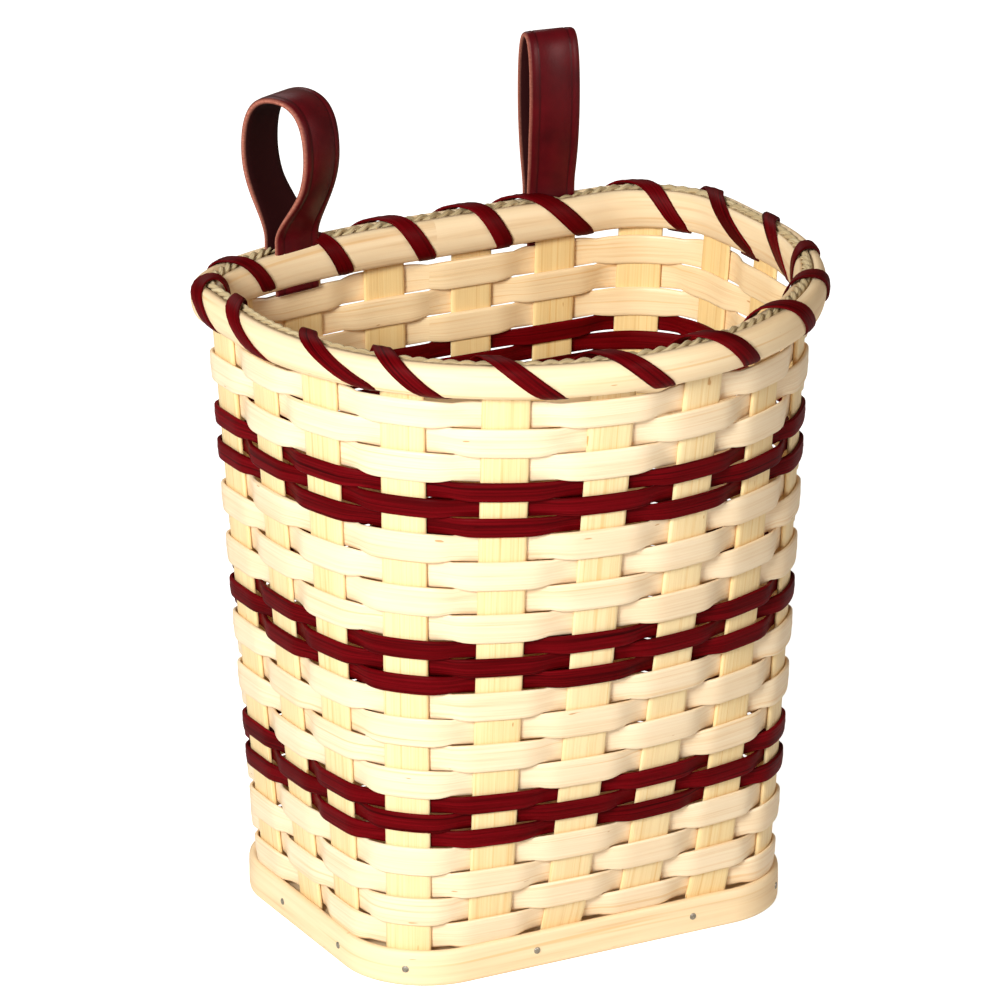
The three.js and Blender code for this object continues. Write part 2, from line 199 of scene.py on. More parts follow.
# Tint of each piece, from nought to one, which shifts its grain and picks its shade: the stakes are the
# yellower pieces, up to their value, and the rows the paler ones, from their value to one
STAKE_TINT = 0.4
ROW_TINT = 0.5
STRAP_TINT = 0.5
PLY_TINTS = [0.55, 0.8]
LASH_TINT = 0.6
BOARD_TINT = 0.7
BAND_TINT = 0.8
RIM_TINT = 0.9
WHITE = (1, 1, 1)
TINT_SHADES = [
    (0, (0.95, 0.90, 0.68)),
    (STAKE_TINT, (0.97, 0.94, 0.76)),
    (ROW_TINT, (0.96, 0.94, 0.92)),
    (1, WHITE),
]
TINT_SHIFT = 517.0

# Painted shade on each reed's inner face, which faces into the basket: the inside is darkened and warmed
# as if in shade
INSIDE_PAINTED_SHADE = (1.0, 0.95, 0.83, 1)

# Grain of reed and wood, in waves to the millimetre along and across: fine fibres, whose number across
# is each material's own, broad streaks, thin veins between the fibres, and flecks
FINE_ALONG = 0.02
BROAD_WAVES = (0.012, 0.22)
VEIN_ALONG = 0.009
VEINS_TO_FIBRES = 0.6
FLECK_WAVES = (0.16, 0.7)

# Levels of the noise between which veins and flecks come in, and their shades
VEIN_LEVELS = (0.62, 0.74)
VEIN_SHADE = (0.93, 0.82, 0.67)
RED_VEIN_SHADE = (0.4, 0.35, 0.35)
FLECK_LEVELS = (0.86, 0.89)
FLECK_SHADE = (0.7, 0.5, 0.32)

# Pores of the leather, in waves to the millimetre along and across
PORE_WAVES = (0.35, 0.35)

# Depth of the relief in metres
FIBRE_RELIEF = 0.0003
PORE_RELIEF = 0.0002

# Fineness of the meshes: steps along and points round, the rows' for each stake, the lashing's for each
# wrap, and the steps over which the lashing's way is softened
STAKE_STEPS = 90
ROW_STEPS = 16
BAND_STEPS = 360
BOARD_STEPS = 180
NAIL_POINTS = 24
RIM_STEPS = 400
RIM_POINTS = 17
FILLER_STEPS = 1500
PLY_POINTS = 10
LASH_STEPS = 30
LASH_POINTS = 145
LASH_SOFT_STEPS = 5
TAIL_STEPS = 14
LOOP_STEPS = 24

# Share of the outline over which a direction or a length on the wall is measured
NEAR = 1e-3

# Stage: the floor, with a glow that only the camera sees, the point that the lamps face, and the sky
FLOOR_HALF_WIDTH = 6.0
FLOOR_GLOW = 0.8
LAMP_AIM = Vector((0, 0, 0.12))
SKY_COLOUR = (1, 0.87, 0.70, 1)
SKY_STRENGTH = 0.2

# Camera fitted to the photograph
CAMERA_AZIMUTH = math.radians(-28.4)
CAMERA_ELEVATION = math.radians(20.3)
CAMERA_DISTANCE = 2.0
CAMERA_TARGET = Vector((0, 0, 0.110))
CAMERA_SENSOR = 36
CAMERA_LENS = 208.8
CAMERA_SHIFT = (-0.013, 0.094)
CAMERA_FAR = 50


# Heights from the frame

def heights(node):
    """Lowest and highest point of a CAD node, in millimetres."""
    low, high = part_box(node)
    return low.z / MM, high.z / MM


BAND_TOP = heights("base_band")[1]
BOARD_TOP = heights("base_board")[1]
RIM_BOTTOM, RIM_TOP = heights("rim_outer_band")
RIM_MIDDLE = (RIM_TOP + RIM_BOTTOM) / 2
TAIL_BOTTOM = heights("belt_loop_left_tail")[0]
PIVOT_Z = heights("belt_loop_left")[0] + TAIL_THICK
ROWS = sorted(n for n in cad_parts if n.startswith("weaver_") and n != "weaver_rim_row")


# Wall surface

def arc(x, y, rx, ry, start, end, count=60):
    """Points of a stretch of an ellipse about a centre."""
    turn = np.linspace(start, end, count)
    return np.stack([x + rx * np.cos(turn), y + ry * np.sin(turn)], -1)


def run_lengths(points):
    """Distance along a line of points, at each of them."""
    steps = np.linalg.norm(np.diff(points, axis=0), axis=1)
    return np.concatenate([[0], np.cumsum(steps)])


def outline(*stretches):
    """Points of a closed outline and the share of its length at each."""
    points = np.concatenate(stretches)
    length = run_lengths(points)
    return points, length / length[-1]


def base_outline():
    """Rounded rectangle, from the middle of the back round by the left."""
    x, y = BASE_HALF_WIDTH - BASE_CORNER, BASE_HALF_DEPTH - BASE_CORNER
    back = np.array([[0, BASE_HALF_DEPTH]])
    corners = [(-x, y, 1), (-x, -y, 2), (x, -y, 3), (x, y, 4)]
    arcs = [arc(cx, cy, BASE_CORNER, BASE_CORNER, q * QUARTER, (q + 1) * QUARTER) for cx, cy, q in corners]
    return outline(back, *arcs, back)


def rim_outline():
    """D shape with its flat side at the back, from the middle of the back round by the left."""
    y = RIM_BACK - RIM_CORNER
    back = np.array([[0, RIM_BACK]])
    left = arc(RIM_LEFT_RUN - RIM_HALF_WIDTH, y, RIM_LEFT_RUN, RIM_CORNER, QUARTER, math.pi, count=200)
    front = arc(0, 0, RIM_HALF_WIDTH, RIM_FRONT, math.pi, 2 * math.pi, count=400)
    right = arc(RIM_HALF_WIDTH - RIM_CORNER, y, RIM_CORNER, RIM_CORNER, 0, QUARTER)
    return outline(back, left, front, right, back)


BASE, RIM = base_outline(), rim_outline()


def place(count):
    """Share of the outline at a number of stakes from the first stake."""
    return (np.asarray(count, float) + 0.5) / STAKES


def stakes_from(u, count):
    """Distance in stakes from a place on the outline, counted in stakes, to the share u."""
    return ((u - place(count) + 0.5) % 1 - 0.5) * STAKES


def hill(u, count, reach):
    """One at a place on the outline, fading on both sides of it."""
    return np.exp(-((stakes_from(u, count) / reach) ** 2))


def in_front(u):
    """One at the middle of the front, easing to nothing at the back."""
    return (0.5 + 0.5 * np.cos(2 * math.pi * (u - FRONT_SHARE))) ** 2


def drift(u):
    """Share by which the stakes at the rim stand off an even spacing."""
    return sum(distance / STAKES * hill(u, count, reach) for count, reach, distance in STAKE_DRIFTS)


def press(u, offset, z):
    """Offset and height of points of the rim's section, pressed on the inner side at the rim's ends."""
    loss = sum(share * hill(u, count, reach) for count, reach, share in RIM_PRESSES)
    inside = np.clip(-offset / (RIM_FACE + RIM_THICK), 0, 1)
    lifted = z + (RIM_TOP - z) * PRESSED_HEIGHT * loss * inside
    return np.where(offset < 0, offset * (1 - loss), offset), lifted


def wall(u, z):
    """Point of the wall's middle surface at share u of its outline and height z."""
    u, z = np.broadcast_arrays(np.asarray(u, float), np.asarray(z, float))
    rise = np.clip((z - BAND_TOP) / (RIM_TOP - BAND_TOP), 0, 1)
    (base, base_share), (rim, rim_share) = BASE, RIM
    low = [np.interp(u % 1, base_share, base[:, i]) for i in (0, 1)]
    high = [np.interp((u + drift(u)) % 1, rim_share, rim[:, i]) for i in (0, 1)]
    x = low[0] + (high[0] - low[0]) * rise**SIDE_FLARE
    y = low[1] + (high[1] - low[1]) * rise**FRONT_FLARE
    sag = FRONT_SAG * in_front(u) * np.clip((z - SAG_START) / (RIM_TOP - SAG_START), 0, None) ** 2
    return np.stack([x, y, z - sag], -1)


def outward(u, z):
    """Level direction that points out of the basket, square to the wall."""
    step = 2 * NEAR
    along = wall(np.asarray(u) + step, z) - wall(np.asarray(u) - step, z)
    along /= np.linalg.norm(along, axis=-1, keepdims=True)
    return np.stack([along[..., 1], -along[..., 0], 0 * along[..., 0]], -1)


# Meshes

def set_attribute(mesh, name, values):
    """One number for each point of a mesh, for its material."""
    attribute = mesh.attributes.new(name, "FLOAT", "POINT")
    attribute.data.foreach_set("value", np.asarray(values, np.float32))


def sweep(name, rings, across, closed, tint, material, body="basket"):
    """Skin over rings of points, with a UV map of millimetres along and across."""
    n, m, _ = rings.shape
    centre = rings.mean(1)
    if closed:
        centre = np.concatenate([centre, centre[:1]])
    along = run_lengths(centre)
    i = np.arange(n if closed else n - 1)[:, None]
    j = np.arange(m)[None, :]
    i2, j2 = (i + 1) % n, (j + 1) % m
    corners = np.broadcast_arrays(i * m + j, i * m + j2, i2 * m + j2, i2 * m + j)
    faces = np.stack(corners, -1).reshape(-1, 4).tolist()
    uv_along = np.stack(np.broadcast_arrays(along[i], along[i], along[i + 1], along[i + 1]), -1)
    uv_across = np.stack(np.broadcast_arrays(across[j], across[j2], across[j2], across[j]), -1)
    uv_along = np.broadcast_to(uv_along, (len(i), m, 4)).reshape(-1)
    uv_across = np.broadcast_to(uv_across, (len(i), m, 4)).reshape(-1)
    if not closed:
        faces += [list(range(m - 1, -1, -1)), list(range((n - 1) * m, n * m))]
        uv_along = np.concatenate([uv_along, np.full(m, along[0]), np.full(m, along[-1])])
        uv_across = np.concatenate([uv_across, across[::-1], across])
    mesh = bpy.data.meshes.new(name)
    mesh.from_pydata((rings.reshape(-1, 3) * MM).tolist(), [], faces)
    layer = mesh.uv_layers.new(name="UVMap")
    layer.data.foreach_set("uv", np.stack([uv_along, uv_across], -1).astype(np.float32).ravel())
    mesh.polygons.foreach_set("use_smooth", np.ones(len(mesh.polygons), bool))
    set_attribute(mesh, "tint", np.full(n * m, tint))
    mesh.materials.append(material)
    mesh.update()
    piece = bpy.data.objects.new(name, mesh)
    bpy.context.collection.objects.link(piece)
    if body:
        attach(piece, body)
    return piece


def mirrored(half, middle):
    """A list of values, one in the middle, and the list again backwards."""
    return np.concatenate([half, [middle], half[::-1]])


def section(side, over, under):
    """Closed section from one edge over the upper face to the other edge and back along the lower face."""
    across = np.concatenate([-side, [0], side[::-1]])
    return np.concatenate([across, across[-2:0:-1]]), np.concatenate([over, -under[-2:0:-1]])


def reed_profile(width, thick, dome):
    """Flat reed in section: width positions and thickness positions, rounded at both edges."""
    side, height = np.array(REED_EDGE).T
    across, lift = section(side, mirrored(height, dome), mirrored(height, 1))
    return across * width, lift * thick / 2


def wobble(rng, u, size):
    """A small smooth wander that closes on itself round the basket."""
    waves = sum(np.sin(2 * math.pi * (k * u + rng.random())) / k for k in (2, 3, 5, 9))
    return size * waves


# Materials

def new_material(name):
    material = bpy.data.materials.new(name)
    material.use_nodes = True
    nodes = material.node_tree.nodes
    return material, nodes, material.node_tree.links, nodes["Principled BSDF"]


def link_value(links, socket, value):
    """Joins a node's output to a socket, or sets the socket to a plain value."""
    if isinstance(value, bpy.types.NodeSocket):
        links.new(value, socket)
    else:
        socket.default_value = value


def math_node(nodes, links, operation, a, b):
    node = nodes.new("ShaderNodeMath")
    node.operation = operation
    link_value(links, node.inputs[0], a)
    link_value(links, node.inputs[1], b)
    return node.outputs[0]


def attribute_value(nodes, name):
    """A mesh attribute, which is nought where the mesh lacks it."""
    node = nodes.new("ShaderNodeAttribute")
    node.attribute_name = name
    return node.outputs["Fac"]


def fibre_coordinates(nodes, links, along_scale, across_scale):
    """UV millimetres, stretched along the fibre and shifted by each piece's own tint."""
    uv = nodes.new("ShaderNodeUVMap")
    uv.uv_map = "UVMap"
    split = nodes.new("ShaderNodeSeparateXYZ")
    links.new(uv.outputs[0], split.inputs[0])
    joined = nodes.new("ShaderNodeCombineXYZ")
    links.new(math_node(nodes, links, "MULTIPLY", split.outputs[0], along_scale), joined.inputs[0])
    links.new(math_node(nodes, links, "MULTIPLY", split.outputs[1], across_scale), joined.inputs[1])
    tint = attribute_value(nodes, "tint")
    links.new(math_node(nodes, links, "MULTIPLY", tint, TINT_SHIFT), joined.inputs[2])
    return joined.outputs[0]


def noise(nodes, links, vector, scale=1.0, detail=3.0, roughness=0.55):
    node = nodes.new("ShaderNodeTexNoise")
    links.new(vector, node.inputs["Vector"])
    node.inputs["Scale"].default_value = scale
    node.inputs["Detail"].default_value = detail
    node.inputs["Roughness"].default_value = roughness
    return node.outputs["Fac"]


def ramp(nodes, links, factor, stops):
    """Colour that runs through stops, each a level of the factor and its colour."""
    node = nodes.new("ShaderNodeValToRGB")
    links.new(factor, node.inputs[0])
    elements = node.color_ramp.elements
    while len(elements) < len(stops):
        elements.new(0.5)
    for element, (level, colour) in zip(elements, stops):
        element.position = level
        element.color = (*colour, 1)
    return node.outputs[0]


def mix_colour(nodes, links, blend, factor, a, b):
    node = nodes.new("ShaderNodeMix")
    node.data_type = "RGBA"
    node.blend_type = blend
    link_value(links, node.inputs[0], factor)
    link_value(links, node.inputs[6], a)
    link_value(links, node.inputs[7], b)
    return node.outputs[2]


def bump(nodes, links, height, strength, distance):
    node = nodes.new("ShaderNodeBump")
    node.inputs["Strength"].default_value = strength
    node.inputs["Distance"].default_value = distance
    links.new(height, node.inputs["Height"])
    return node.outputs[0]


def from_white(levels, colour):
    """Stops of a ramp from white at the first level to a colour at the second."""
    return list(zip(levels, (WHITE, colour)))


def fibrous(name, stops, roughness, relief, gloss, streak=0.35, fibre=1.6, vein=VEIN_SHADE):
    """Wood or reed: fine fibres along the piece, broader streaks, a few thin veins and small flecks."""
    material, nodes, links, surface = new_material(name)
    fine = noise(nodes, links, fibre_coordinates(nodes, links, FINE_ALONG, fibre), detail=4.0)
    broad = noise(nodes, links, fibre_coordinates(nodes, links, *BROAD_WAVES), detail=2.0)
    fine_share = math_node(nodes, links, "MULTIPLY", fine, 1 - streak)
    broad_share = math_node(nodes, links, "MULTIPLY", broad, streak)
    grain = math_node(nodes, links, "ADD", fine_share, broad_share)
    colour = ramp(nodes, links, grain, stops)
    vein_waves = (VEIN_ALONG, fibre * VEINS_TO_FIBRES)
    thin = noise(nodes, links, fibre_coordinates(nodes, links, *vein_waves), detail=1.0)
    veins = ramp(nodes, links, thin, from_white(VEIN_LEVELS, vein))
    spots = noise(nodes, links, fibre_coordinates(nodes, links, *FLECK_WAVES), detail=0.0)
    flecks = ramp(nodes, links, spots, from_white(FLECK_LEVELS, FLECK_SHADE))
    shade = ramp(nodes, links, attribute_value(nodes, "tint"), TINT_SHADES)
    for layer in (veins, flecks, shade):
        colour = mix_colour(nodes, links, "MULTIPLY", 1.0, colour, layer)
    # Painted shade: the reeds' inner faces, towards the inside of the basket, are darkened and warmed
    inside_painted_shade = attribute_value(nodes, "inside_painted_shade")
    colour = mix_colour(nodes, links, "MULTIPLY", inside_painted_shade, colour, INSIDE_PAINTED_SHADE)
    links.new(colour, surface.inputs["Base Color"])
    surface.inputs["Roughness"].default_value = roughness
    surface.inputs["Specular IOR Level"].default_value = gloss
    links.new(bump(nodes, links, fine, relief, FIBRE_RELIEF), surface.inputs["Normal"])
    return material


def natural_reed():
    stops = [(0.26, (0.78, 0.51, 0.28)), (0.42, (0.90, 0.66, 0.42)), (0.60, (0.95, 0.74, 0.51))]
    return fibrous("natural_reed", stops, roughness=0.4, relief=0.45, gloss=0.45)


def red_reed():
    stops = [(0.30, (0.032, 0.0004, 0.001)), (0.48, (0.10, 0.0008, 0.002)), (0.68, (0.17, 0.002, 0.005))]
    return fibrous("red_reed", stops, roughness=0.45, relief=0.45, gloss=0.025, vein=RED_VEIN_SHADE)


def pale_wood():
    stops = [(0.28, (0.76, 0.49, 0.26)), (0.45, (0.90, 0.65, 0.39)), (0.62, (0.95, 0.72, 0.46))]
    return fibrous("pale_wood", stops, roughness=0.48, relief=0.2, gloss=0.25, streak=0.55, fibre=0.8)


def seagrass():
    stops = [(0.30, (0.17, 0.11, 0.05)), (0.48, (0.48, 0.35, 0.19)), (0.68, (0.68, 0.55, 0.35))]
    return fibrous("seagrass", stops, roughness=0.7, relief=0.6, gloss=0.2, fibre=2.4)


def leather():
    """Smooth oxblood leather, fine pore, paler raw-fibre edges; painted shade on the flesh side and
    creases.
    """
    grain_stops = [(0.3, (0.060, 0.002, 0.004)), (0.7, (0.105, 0.003, 0.006))]
    raw_stops = [(0.3, (0.30, 0.085, 0.055)), (0.7, (0.52, 0.19, 0.13))]
    # Painted shade: the flesh side, which faces into the loop, is painted nearly black; its added
    # roughness is the leather's own
    flesh_painted_shade = (0.024, 0.0022, 0.0024, 1)
    # Painted shade in the pressed creases, which the dents alone shade too weakly
    crease_painted_shade = (0.045, 0.0015, 0.003, 1)
    smooth_roughness = 0.38
    added_roughness = 0.4
    pore_strength = 0.2
    material, nodes, links, surface = new_material("leather")
    vector = fibre_coordinates(nodes, links, *PORE_WAVES)
    pore = noise(nodes, links, vector, scale=4.0, detail=5.0)
    cloud = noise(nodes, links, vector, scale=0.25, detail=2.0)
    flesh, crease, edge = (attribute_value(nodes, name) for name in ("flesh", "crease", "edge"))
    colour = ramp(nodes, links, cloud, grain_stops)
    # Painted shade on the flesh side
    colour = mix_colour(nodes, links, "MIX", flesh, colour, flesh_painted_shade)
    # Painted shade in the creases
    colour = mix_colour(nodes, links, "MIX", crease, colour, crease_painted_shade)
    colour = mix_colour(nodes, links, "MIX", edge, colour, ramp(nodes, links, pore, raw_stops))
    links.new(colour, surface.inputs["Base Color"])
    coarse = math_node(nodes, links, "ADD", edge, flesh)
    rough = math_node(nodes, links, "MULTIPLY", coarse, added_roughness)
    rough = math_node(nodes, links, "ADD", rough, smooth_roughness)
    links.new(rough, surface.inputs["Roughness"])
    surface.inputs["Specular IOR Level"].default_value = 0.1
    links.new(bump(nodes, links, pore, pore_strength, PORE_RELIEF), surface.inputs["Normal"])
    return material


def nail_steel():
    """Dull wire, darker where it is worn."""
    stops = [(0.3, (0.16, 0.13, 0.10)), (0.7, (0.42, 0.38, 0.32))]
    material, nodes, links, surface = new_material("nail_steel")
    wear = noise(nodes, links, fibre_coordinates(nodes, links, 1.0, 1.0), scale=3.0)
    links.new(ramp(nodes, links, wear, stops), surface.inputs["Base Color"])
    surface.inputs["Metallic"].default_value = 0.8
    surface.inputs["Roughness"].default_value = 0.45
    return material


NATURAL, RED, WOOD = natural_reed(), red_reed(), pale_wood()
SEAGRASS, LEATHER, STEEL = seagrass(), leather(), nail_steel()
rng = np.random.default_rng(12)


# Stakes and woven rows

def passes_outside(stake, row):
    return (stake + row) % 2 == 1


def make_stake(stake):
    """Upright reed from the base to the rim, curved with the wall."""
    node = f"stake_{stake + 1:02d}"
    across, lift = reed_profile(STAKE_WIDTH, STAKE_THICK, STAKE_DOME)
    z = np.linspace(*heights(node), STAKE_STEPS)[:, None]
    share = place(stake)
    out = outward(np.full_like(z, share), z)
    length = np.linalg.norm(wall(share + NEAR, z) - wall(share - NEAR, z), axis=-1) / (2 * NEAR)
    u = share + across[None, :] / length
    rings = wall(u, z) + out * lift[None, :, None]
    tint = STAKE_TINT * rng.random()
    piece = sweep(f"look_{node}", rings, across, False, tint, NATURAL)
    # Inner faces of the stake, which take the painted shade
    set_attribute(piece.data, "inside_painted_shade", np.tile(lift < 0, STAKE_STEPS))
    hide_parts(node)


def weave_offset(u, row):
    """Alternates from outside to inside a stake, flat over the stakes and steep between them."""
    swing = WEAVE_FLATNESS * np.cos(math.pi * (u * STAKES - 0.5))
    side = 1 if passes_outside(0, row) else -1
    return side * WEAVE_REACH * np.sin(QUARTER * np.clip(swing, -1, 1))


def make_row(node, row, material):
    """Ring of reed that passes in front of and behind the stakes by turns."""
    steps = ROW_STEPS * STAKES
    u = np.arange(steps)[:, None] / steps
    bottom, top = heights(node)
    across, lift = reed_profile(top - bottom, WEAVER_THICK, WEAVER_DOME)
    offset = weave_offset(u, row)
    over_stake = np.abs(offset) / WEAVE_REACH
    spread = 1 - ROW_PINCH + (ROW_SWELL + ROW_PINCH) * over_stake
    z = (bottom + top) / 2 + wobble(rng, u, ROW_WANDER_UP) + across[None, :] * spread
    offset = offset + wobble(rng, u, ROW_WANDER_OUT)
    rings = wall(u, z) + outward(u, z) * (offset + lift[None, :])[..., None]
    tint = ROW_TINT + (1 - ROW_TINT) * rng.random()
    piece = sweep(f"look_{node}", rings[:, ::-1], across[::-1], True, tint, material)
    # Inner faces of the row, which take the painted shade
    set_attribute(piece.data, "inside_painted_shade", np.tile(lift[::-1] < 0, steps))
    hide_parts(node)


for number in range(STAKES):
    make_stake(number)
for node_name in ROWS:
    number = int(node_name.split("_")[1])
    if node_name.endswith("red"):
        make_row(node_name, number, RED)
    else:
        make_row(node_name, number, NATURAL)
make_row("weaver_rim_row", 0, NATURAL)


# Base

def make_band():
    """Bent wooden band round the feet of the stakes."""
    u = np.arange(BAND_STEPS)[:, None] / BAND_STEPS
    low, high = heights("base_band")
    across, lift = reed_profile(high - low, BAND_THICK, BAND_DOME)
    offset = BAND_FACE + BAND_THICK / 2 + lift[None, :]
    z = np.broadcast_to((low + high) / 2 + across[None, :], (BAND_STEPS, len(across)))
    rings = wall(u, 0 * z) + outward(u, 0 * z) * offset[..., None] + UP * z[..., None]
    piece = sweep("look_base_band", rings[:, ::-1], across[::-1], True, BAND_TINT, WOOD)
    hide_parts("base_band")


def make_board():
    """Flat board whose edges are eased, the upper one more, with its grain straight across it."""
    u = np.arange(BOARD_STEPS) / BOARD_STEPS
    out = outward(u, 0)
    edge = wall(u, 0) - out * BAND_FACE
    small = BOARD_EASE / 2
    levels = [(0.0, small), (small, 0.0), (BOARD_TOP - BOARD_EASE, 0.0), (BOARD_TOP, BOARD_EASE)]
    rings = np.stack([edge - out * inset + UP * z for z, inset in levels])
    piece = sweep("look_base_board", rings, edge[:, 1], False, BOARD_TINT, WOOD)
    mesh = piece.data
    corners = np.array([mesh.vertices[loop.vertex_index].co for loop in mesh.loops]) / MM
    mesh.uv_layers["UVMap"].data.foreach_set("uv", corners[:, :2].astype(np.float32).ravel())
    for face in mesh.polygons:
        face.use_smooth = len(face.vertices) == 4
    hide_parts("base_board")


def make_nail(index, count):
    """Round wire-nail head, a little sunk in the band."""
    u = place(count)
    out = outward(u, 0.0)
    along = np.cross(UP, out)
    face = wall(u, 0.0) + UP * BAND_TOP / 2 + out * (BAND_FACE + BAND_THICK)
    turn = np.linspace(0, 2 * math.pi, NAIL_POINTS, endpoint=False)
    circle = np.cos(turn)[:, None] * along + np.sin(turn)[:, None] * UP
    rings = np.stack([face + out * lift + circle * NAIL_RADIUS * size for lift, size in NAIL_SHAPE])
    return sweep(f"look_nail_{index + 1:02d}", rings, turn, False, rng.random(), STEEL)


make_band()
make_board()
nails = [make_nail(i, count) for i, count in enumerate(NAIL_COUNTS + HIDDEN_NAIL_COUNTS)]
for number in range(len(NAIL_COUNTS)):
    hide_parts(f"base_nail_{number + 1:02d}")


# Rim

def make_rim_band(node, side):
    """Half-oval band outside the wall for side 1 and inside it for side -1."""
    u = np.arange(RIM_STEPS)[:, None] / RIM_STEPS
    angle = np.linspace(-QUARTER, QUARTER, RIM_POINTS)
    bulge = RIM_FACE + RIM_THICK * np.abs(np.cos(angle)) ** RIM_OVAL_POWER
    across = (RIM_TOP - RIM_BOTTOM) / 2 * np.sin(angle)
    offset, z = press(u, side * bulge[None, :], RIM_MIDDLE + across[None, :])
    rings = wall(u, z) + outward(u, RIM_TOP) * offset[..., None]
    if side > 0:
        rings, across = rings[:, ::-1], across[::-1]
    else:
        rings -= UP * INNER_SAG * in_front(u)[..., None]
    piece = sweep(f"look_{node}", rings, across, True, RIM_TINT, WOOD)
    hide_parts(node)


def crowding(u):
    """How much a strap crowds the rim at u, one at the strap's middle, with the side as its sign."""
    total = np.zeros_like(u)
    for _, count, _, _, side, _ in LOOPS:
        gap = np.abs(stakes_from(u, count))
        total = total + side * np.clip(CROWD_SLOPE * (CROWD_REACH - gap), 0, 1)
    return total


def make_filler():
    """Seagrass rope: two plies twisted round each other."""
    u = np.arange(FILLER_STEPS)[:, None] / FILLER_STEPS
    crowd = crowding(u)
    out = outward(u, RIM_TOP)[:, 0]
    centre = wall(u, RIM_TOP)[:, 0] - out * CROWD_ASIDE * crowd
    centre -= UP * (FILLER_DROP + FILLER_SAG * in_front(u))
    squeeze = (1 - CROWD_THIN * np.abs(crowd)) * (1 - FILLER_THIN_FRONT * in_front(u))
    turn = np.linspace(0, 2 * math.pi, PLY_POINTS, endpoint=False)
    circle = np.cos(turn)[None, :, None] * out[:, None] + np.sin(turn)[None, :, None] * UP
    ply = FILLER_RADIUS * PLY_SHARE
    for number in range(PLIES):
        angle = 2 * math.pi * (FILLER_TWISTS * u + number / PLIES)
        line = centre + (np.cos(angle) * out + np.sin(angle) * UP) * (FILLER_RADIUS - ply) * squeeze
        radius = ply * squeeze * (1 + LUMP_SHARE * np.sin(LUMPS_PER_TWIST * angle))
        rings = (line[:, None] + circle * radius[..., None])[:, ::-1]
        name = f"look_rim_filler_{number + 1}"
        piece = sweep(name, rings, turn[::-1], True, PLY_TINTS[number], SEAGRASS)
        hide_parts("rim_filler")


def lash_section():
    """Closed path of the lashing in section, from the bottom up the inside, with its normals."""
    turn = np.linspace(0, 2 * math.pi, LASH_POINTS)
    power = 2 / LASH_BOX_POWER
    side = RIM_FACE + RIM_THICK + LASH_REST
    crown = RIM_TOP - FILLER_DROP + FILLER_RADIUS + LASH_REST - RIM_MIDDLE
    keel = RIM_MIDDLE - RIM_BOTTOM + LASH_REST
    offset = -side * np.sign(np.sin(turn)) * np.abs(np.sin(turn)) ** power
    rise = -np.sign(np.cos(turn)) * np.abs(np.cos(turn)) ** power
    points = np.stack([offset, RIM_MIDDLE + np.where(rise > 0, crown, keel) * rise], -1)
    way = np.roll(points[:-1], -1, 0) - np.roll(points[:-1], 1, 0)
    way = np.concatenate([way, way[:1]])
    way /= np.linalg.norm(way, axis=1, keepdims=True)
    return points, np.stack([-way[:, 1], way[:, 0]], -1)


def lash_counts(turns):
    """Place in stakes along the rim after a number of turns round it."""
    at, counts = [], []
    for number, shift in enumerate(LASH_SHIFTS):
        climb = LASH_OWN_CLIMBS.get(number, LASH_CLIMB)
        fall = LASH_OWN_FALLS.get(number, LASH_FALL)
        at += [number - LASH_REACH / 2, number, number + LASH_REACH / 2]
        counts += [number + shift + run for run in (-LASH_REACH * climb, 0, LASH_REACH * fall)]
    soft = np.ones(LASH_SOFT_STEPS) / LASH_SOFT_STEPS
    padded = np.pad(np.interp(turns, at, counts), LASH_SOFT_STEPS // 2, "edge")
    return np.convolve(padded, soft, "valid")


def make_lashing():
    """One reed wound round the rim: each wrap is laid out flat and then bent round the section."""
    points, normals = lash_section()
    length = run_lengths(points)
    girth = length[-1]
    pitch = run_lengths(RIM[0])[-1] / STAKES
    turns = np.linspace(LASH_START, LASH_END, LASH_STEPS * STAKES)
    flat = np.stack([lash_counts(turns) * pitch, turns * girth], -1)
    way = np.gradient(flat, axis=0)
    way /= np.linalg.norm(way, axis=1, keepdims=True)
    across, lift = reed_profile(LASH_WIDTH, LASH_THICK, LASH_DOME)
    along_rim = flat[:, :1] + way[:, 1:] * across
    round_rim = np.mod(flat[:, 1:] - way[:, :1] * across + girth / 2, girth)

    def bent(i):
        normal = np.interp(round_rim, length, normals[:, i])
        return np.interp(round_rim, length, points[:, i]) + lift * normal

    u = place(along_rim / pitch)
    offset, z = press(u, bent(0), bent(1))
    rings = wall(u, z) + outward(u, RIM_TOP) * offset[..., None]
    piece = sweep("look_rim_lashing", rings[:, ::-1], across[::-1], False, LASH_TINT, RED)
    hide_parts("rim_lashing")


make_rim_band("rim_outer_band", 1)
make_rim_band("rim_inner_band", -1)
make_filler()
make_lashing()


# Leather belt loops

def bezier(a, b, c, d):
    """Curve from a to d, without its last point, that leaves towards b and arrives from c."""
    t = np.linspace(0, 1, LOOP_STEPS, endpoint=False)[:, None]
    a, b, c, d = (np.array(p, float) for p in (a, b, c, d))
    return a * (1 - t) ** 3 + 3 * b * t * (1 - t) ** 2 + 3 * c * t**2 * (1 - t) + d * t**3


def strap_profile():
    """Strap in section, one millimetre thick: a pressed crease near each edge of the grain side."""
    edge, height = np.array(STRAP_EDGE).T
    crease = CREASE_PLACE + CREASE_HALF_WIDTH * np.array([1, 0, -1])
    grain = mirrored(np.concatenate([height, [1, CREASE_BED, 1]]), 1)
    flesh = mirrored(np.concatenate([height, [1, 1, 1]]), 1)
    across, lift = section(np.concatenate([edge, crease]), grain, flesh)
    return across * STRAP_WIDTH, lift / 2


